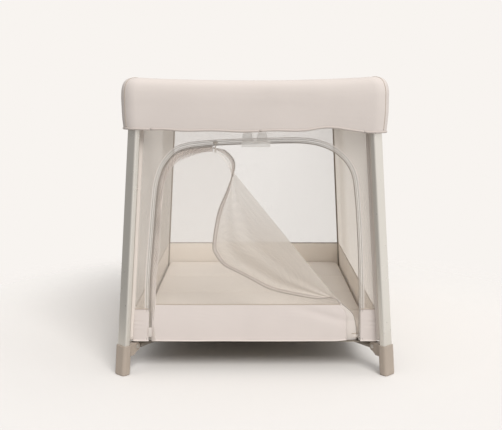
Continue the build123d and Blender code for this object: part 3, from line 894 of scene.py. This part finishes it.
def cover_points():
    """All points of the cover, station by station."""
    section = cover_section()
    stations = ring_stations()
    points = np.zeros((len(stations), len(section), 3))
    for i, station in enumerate(stations):
        kind, where, f = station
        middle = math.sin(f * math.pi) if kind == "side" else 0.0
        x_side = ring_point(station, 0.0)[0]
        lift = hem_height(station)
        for j, (o, z) in enumerate(section):
            low_share = min(1.0, max(0.0, (0.76 - z) / 0.12)) if o > 0.02 else 0.0
            dip = -0.0045 * middle ** 0.6 * max(0.0, (z - 0.70) / 0.075)
            rise = 0.0028 * (1 - middle) * max(0.0, (z - 0.745) / 0.03) * (1.9 if x_side > 0 else 1.0)
            x, y = ring_point(station, o)
            swell = 0.0022 * ripple(x + y * 0.7, z * 1.4, 0.13, 21) * max(0.0, min(1.0, (o + 0.01) / 0.03))
            x, y = ring_point(station, min(o + swell, 0.0398))
            points[i, j] = (x, y, z + dip + rise + lift * low_share)
    return points, stations


def cover_owner(point, station):
    """Which piece of the cover a station belongs to: a corner, or half of a side."""
    kind, where, f = station
    if kind == "corner":
        return ("corner", where)
    x, y = point[0], point[1]
    if where in Y_SIDES:
        sx = 1 if x > 0 else -1
        if abs(x) > RAIL_X - CORNER_REACH:
            return ("corner", (sx, Y_SIDES[where]))
        return ("half", where, "right" if sx > 0 else "left")
    sy = 1 if y > 0 else -1
    if abs(y) > RAIL_Y - CORNER_REACH:
        return ("corner", (X_SIDES[where], sy))
    return ("half", where, "rear" if sy > 0 else "front")


def corner_name(sx, sy):
    y_name = "front" if sy < 0 else "rear"
    x_name = "left" if sx < 0 else "right"
    return f"{y_name}_{x_name}"


def make_cover():
    """The padded cover, shaped as one ring and then cut so that each part follows its post or half rail."""
    points, stations = cover_points()
    count, loop = points.shape[:2]
    whole = make_object("cover_whole", points.reshape(-1, 3), ring_faces(count, loop), cover_cloth)
    normals = np.zeros(len(whole.data.vertices) * 3)
    whole.data.vertices.foreach_get("normal", normals)
    groups = {}
    for i in range(count):
        groups.setdefault(cover_owner(points[i, loop // 3], stations[i]), []).append(i)
    for owner, members in groups.items():
        cover_piece(owner, members, points, normals, count, loop)
    for i, (kind, where, f) in enumerate(stations):
        if kind == "corner" and abs(f - 0.5) < 0.01:
            cover_seam(where, points[i])
    bpy.data.objects.remove(whole)


def cover_seam(where, ring):
    """The seam down the cover's corner, a slight ridge over its outer skin."""
    corner = corner_name(*where)
    line = resample(ring[6 : OUTER_COUNT - 1], 60)
    out = (-where[1], where[0], 0)
    seam = tube_object(f"cover_seam_{corner}", line, 0.0011, piping_cloth, sides=6, out=out)
    place(seam, f"post_{corner}")


def ring_faces(count, loop):
    faces = []
    for i in range(count):
        n = (i + 1) % count
        for j in range(loop):
            k = (j + 1) % loop
            faces.append((i * loop + j, i * loop + k, n * loop + k, n * loop + j))
    return faces


def cover_piece(owner, members, points, normals, count, loop):
    """One part of the cover, with the whole ring's normals, so that its cut doesn't show."""
    members = in_order(members, count)
    members.append((members[-1] + 1) % count)
    rows = points[members]
    faces = grid_faces(len(members), loop, wrap=True)
    at_corner = owner[0] == "corner"
    if at_corner:
        sx, sy = owner[1]
        y_name, x_name = corner_name(sx, sy).split("_")
        name, body = f"cover_corner_{y_name}_{x_name}", f"post_{y_name}_{x_name}"
        nodes = [f"cover_{y_name}", f"cover_{x_name}"]
    else:
        _, side, half = owner
        name, body = f"cover_{side}_{half}_half", f"{side}_rail_{half}_half"
        nodes = [f"cover_{side}"]
    piece = make_object(name, rows.reshape(-1, 3), faces, cover_cloth)
    kept = normals.reshape(count, loop, 3)[members].reshape(-1, 3)
    piece.data.normals_split_custom_set_from_vertices([tuple(n) for n in kept])
    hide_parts(*nodes)
    place_cover(piece, body, at_corner)
    place_cover(cover_hem(name, rows), body, at_corner)


def place_cover(piece, body, at_corner):
    """Lets a piece of the cover follow its post, or its half rail."""
    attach(piece, body)
    if not at_corner:
        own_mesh(piece)


def cover_hem(name, rows):
    """The rolled hem along the outer flap's lower edge, in cloth darkened as painted shade for the shadow line
    under it.
    """
    edge = rows[:, OUTER_COUNT - 1] + np.array([0, 0, 0.001])
    out = edge.copy()
    out[:, 2] = 0
    line = edge - unit(out) * 0.001
    return tube_object(name + "_hem", line, COVER_HEM_R, hem_roll_painted_shade, sides=10, out=(0, 0, 1))


def in_order(members, count):
    """Stations of one piece in ring order, starting after the gap."""
    members = sorted(members)
    for i in range(1, len(members)):
        if members[i] - members[i - 1] > 1:
            return members[i:] + members[:i]
    return members


# ---- mattress, floor and small cloth -----------------------------
def rounded_block(name, low, high, radius, mat, steps=4, swell=0.0, cuts=1):
    """A box with rounded edges; swell lifts the middle of its top like a filled pad."""
    low, high = np.asarray(low, float), np.asarray(high, float)
    centre, half = (low + high) / 2, (high - low) / 2
    bm = bmesh.new()
    bmesh.ops.create_cube(bm, size=2.0)
    for vertex in bm.verts:
        vertex.co = Vector(centre + np.array(vertex.co) * half)
    everything = bm.edges[:] + bm.verts[:]
    bmesh.ops.bevel(bm, geom=everything, offset=radius, segments=steps, profile=0.5, affect="EDGES")
    if cuts > 1:
        long_edges = [e for e in bm.edges if e.calc_length() > 0.05]
        bmesh.ops.subdivide_edges(bm, edges=long_edges, cuts=cuts, use_grid_fill=True)
    for vertex in bm.verts:
        x, y, _ = (np.array(vertex.co) - centre) / half
        if swell and vertex.co.z > centre[2]:
            dome = (1 - abs(x) ** 4) * (1 - abs(y) ** 4)
            vertex.co.z += swell * dome + swell * 0.6 * ripple(vertex.co.x, vertex.co.y, 0.09, 31) * dome
    mesh = bpy.data.meshes.new(name)
    bm.to_mesh(mesh)
    bm.free()
    return shown(mesh, mat)


def make_mattress():
    """Four pads with a skin whose seam piping runs round the top of each."""
    for index in range(1, 5):
        node = f"mattress_panel_{index}"
        low, high = (np.array(c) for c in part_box(node))
        name, crown = f"mattress_pad_{index}", 0.002
        pad = rounded_block(name, low, high - (0, 0, crown), 0.006, mattress_cloth, 5, crown, 14)
        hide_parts(node)
        place(pad, node)
        seam = seam_loop(low, high, high[2] - 0.006)
        piping = tube_object(f"mattress_piping_{index}", seam, 0.0013, piping_cloth, sides=6, out=(0, 0, 1))
        place(piping, node)


def seam_loop(low, high, z):
    """A rounded rectangle just outside a pad's edge, back to its start."""
    radius = 0.007
    points = []
    corners = [(high[0], high[1], 0), (low[0], high[1], 90), (low[0], low[1], 180), (high[0], low[1], 270)]
    for x, y, start in corners:
        cx = x - math.copysign(radius, x - (low[0] + high[0]) / 2)
        cy = y - math.copysign(radius, y - (low[1] + high[1]) / 2)
        for angle in np.radians(np.linspace(start, start + 90, 6)):
            points.append((cx + radius * math.cos(angle), cy + radius * math.sin(angle), z))
    points.append(points[0])
    return resample(points, 220)


def make_floor():
    """The floor cloth's four quarters, each sewn along its base tube."""
    for corner, sx, sy in corners():
        node = f"floor_panel_{corner}"
        low, high = (np.array(c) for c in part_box(node))
        x_span, y_span = np.sort(np.abs([low[:2], high[:2]]), axis=0).T
        u, v = grid((0, 1, 30), (0, 1, 40))
        x = x_span[0] + (x_span[1] - x_span[0]) * u
        y = y_span[0] + (y_span[1] - y_span[0]) * v
        z = (low[2] + high[2]) / 2 + 0.0006 * ripples(x, y, 0.1, 41)
        points = np.stack([sx * x, sy * y, z], axis=-1)
        piece = grid_object(f"floor_cloth_{corner}", points, floor_cloth)
        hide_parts(node)
        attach(piece, f"base_tube_{corner}")
        diagonal = np.array([high[0] - low[0], high[1] - low[1]])
        diagonal /= np.linalg.norm(diagonal)
        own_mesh(piece)


def make_small_cloth():
    """The pull strap on the hub and the mattress's hook-tape strips."""
    low, high = (np.array(c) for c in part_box("pull_strap"))
    v, u = grid((-1, 1, 40), (-1, 1, 8))
    z = high[2] - 0.0011 + 0.0004 * np.cos(v * 9)
    strap = grid_object("pull_strap_webbing", np.stack([u * high[0], v * high[1], z], axis=-1), strap_cloth)
    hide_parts("pull_strap")
    place(strap, "hub")
    low, high = (np.array(c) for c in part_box("mattress_tabs"))
    for name, sign in X_SIDES.items():
        v, u = grid((low[1], high[1], 6), (0.15, 0.23, 8))
        points = np.stack([sign * u, v, np.full_like(u, high[2] - 0.001)], axis=-1)
        tab = grid_object(f"hook_tape_{name}", points, strap_cloth)
        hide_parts("mattress_tabs")
        place(tab, "mattress_tabs")


# ---- camera, light and backdrop ----------------------------------
def make_camera():
    """In front of the playpen, a little above its top and looking slightly down."""
    data = bpy.data.cameras.new("camera")
    data.sensor_width = 36.0
    data.lens = 62.2
    camera = bpy.data.objects.new("camera", data)
    camera.location = (-0.010, -2.710, 0.753)
    camera.rotation_euler = (math.radians(90 - 8.46), 0, 0)
    bpy.context.scene.collection.objects.link(camera)
    bpy.context.scene.camera = camera


def floor_colour():
    """The floor's colour at which it's exactly as bright as the backdrop where nothing shades it."""
    lit = np.array(ROOM_COLOUR) * (ROOM_LEVEL + ROOM_FROM_ABOVE * 2 / 3)
    for strength, elevation, _, _, colour in SUNS.values():
        lit = lit + np.array(colour) * strength * math.sin(math.radians(elevation)) / math.pi
    return np.array(linear(IVORY)) / lit


def make_floor_plane():
    """A floor that takes the object's shadow and fades into the backdrop, so that no horizon shows."""
    mat, tree, shader = new_material("studio_floor")
    tree.nodes.remove(shader)
    lit = add(tree, "ShaderNodeBsdfDiffuse", Color=(*floor_colour(), 1))
    clear = add(tree, "ShaderNodeBsdfTransparent")
    distance = add(tree, "ShaderNodeVectorMath", operation="LENGTH", Vector=object_coords(tree))
    gone = eased(tree, distance.outputs["Value"], *FLOOR_FADE)
    show(tree, mix_shaders(tree, gone, lit.outputs["BSDF"], clear.outputs["BSDF"]))
    corners = [(x * FLOOR_HALF, y * FLOOR_HALF, 0) for x, y in ((-1, -1), (1, -1), (1, 1), (-1, 1))]
    make_object("studio_floor", corners, [(0, 1, 2, 3)], mat, smooth=False)


FLOOR_HALF = 1.4
FLOOR_FADE = (0.75, 1.30)   # distances from the middle between which the floor fades out
ROOM_COLOUR = (1, 0.985, 0.975)
ROOM_LEVEL, ROOM_FROM_RIGHT, ROOM_FROM_ABOVE = 0.42, 0.20, 0.25
ROOM_IN_GLOSS = 0.9         # how much brighter the room is in reflections, like the softboxes of a studio
# strength, elevation, azimuth from the front toward the right, angular size, colour
SUNS = {
    "key": (2.1, 42, 20, 30, (1.0, 0.985, 0.97)),
    "top": (0.35, 85, 0, 70, (1.0, 0.99, 0.98)),
}


def make_sun(name, strength, elevation, azimuth, size, colour):
    data = bpy.data.lights.new(name, "SUN")
    data.energy = strength
    data.angle = math.radians(size)
    data.color = colour
    lamp = bpy.data.objects.new(name, data)
    lamp.rotation_euler = (math.radians(90 - elevation), 0, math.radians(azimuth))
    bpy.context.scene.collection.objects.link(lamp)


def make_world():
    """An even ivory backdrop for the camera, and a soft room that is brighter above and on the right."""
    world = bpy.data.worlds.new("studio")
    world.use_nodes = True
    tree = world.node_tree
    direction = add(tree, "ShaderNodeTexCoord").outputs["Generated"]
    split = add(tree, "ShaderNodeSeparateXYZ", Vector=direction)
    path = add(tree, "ShaderNodeLightPath")
    from_right = math_node(tree, "MULTIPLY", split.outputs["X"], ROOM_FROM_RIGHT)
    height = math_node(tree, "MAXIMUM", split.outputs["Z"], 0.0)
    from_above = math_node(tree, "MULTIPLY", height, ROOM_FROM_ABOVE)
    level = math_node(tree, "ADD", math_node(tree, "ADD", from_right, from_above), ROOM_LEVEL)
    gloss = math_node(tree, "MULTIPLY", path.outputs["Is Glossy Ray"], ROOM_IN_GLOSS)
    gloss = math_node(tree, "ADD", gloss, 1.0)
    room = tree.nodes["Background"]
    set_up(tree, room, Color=(*ROOM_COLOUR, 1), Strength=math_node(tree, "MULTIPLY", level, gloss))
    backdrop = add(tree, "ShaderNodeBackground", Color=(*linear(IVORY), 1), Strength=1.0)
    seen = path.outputs["Is Camera Ray"]
    mixed = mix_shaders(tree, seen, room.outputs["Background"], backdrop.outputs["Background"])
    tree.links.new(mixed, tree.nodes["World Output"].inputs["Surface"])
    bpy.context.scene.world = world


def make_light():
    make_world()
    for name, facts in SUNS.items():
        make_sun(name, *facts)
    scene = bpy.context.scene
    scene.view_settings.view_transform = "Standard"
    scene.view_settings.look = "None"
    scene.cycles.transparent_max_bounces = 24
    scene.cycles.max_bounces = 10
    scene.cycles.diffuse_bounces = 6


make_camera()
make_light()
make_floor_plane()
finish_cad()
for seed, side in enumerate(("rear", "left", "right")):
    make_plain_wall(side, 50 + 3 * seed)
make_corners()
make_front_wall()
make_zip()
make_flap()
make_cover()
make_mattress()
make_floor()
make_small_cloth()
